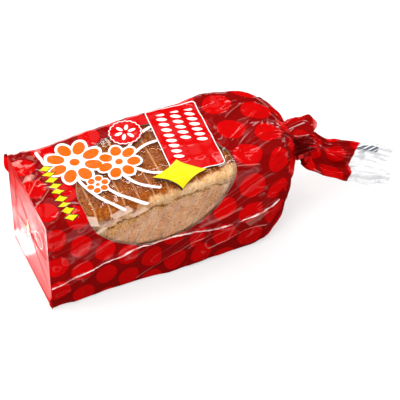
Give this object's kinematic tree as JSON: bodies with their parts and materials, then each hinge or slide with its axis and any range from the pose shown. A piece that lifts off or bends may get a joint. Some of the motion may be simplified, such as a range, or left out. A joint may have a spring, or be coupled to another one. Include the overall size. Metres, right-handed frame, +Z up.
{
  "type": "sliced loaf in a bread bag",
  "caption": "Sliced sandwich loaf in a printed film bag with a round clear window, gathered and taped at one end, lying on its side.",
  "frame": {"origin": "middle of the footprint, on the table", "axes": "+X along the loaf from the folded end to the open tail of the bag, +Z up, and -Y is the side the window wraps down"},
  "size_m": [0.3718, 0.1054, 0.1111],
  "materials": {
    "printed_film": "gloss",
    "tape": "satin"
  },
  "bodies": {
    "root": {"bag": "printed_film", "neck_tie": "tape"}
  },
  "joints": []
}
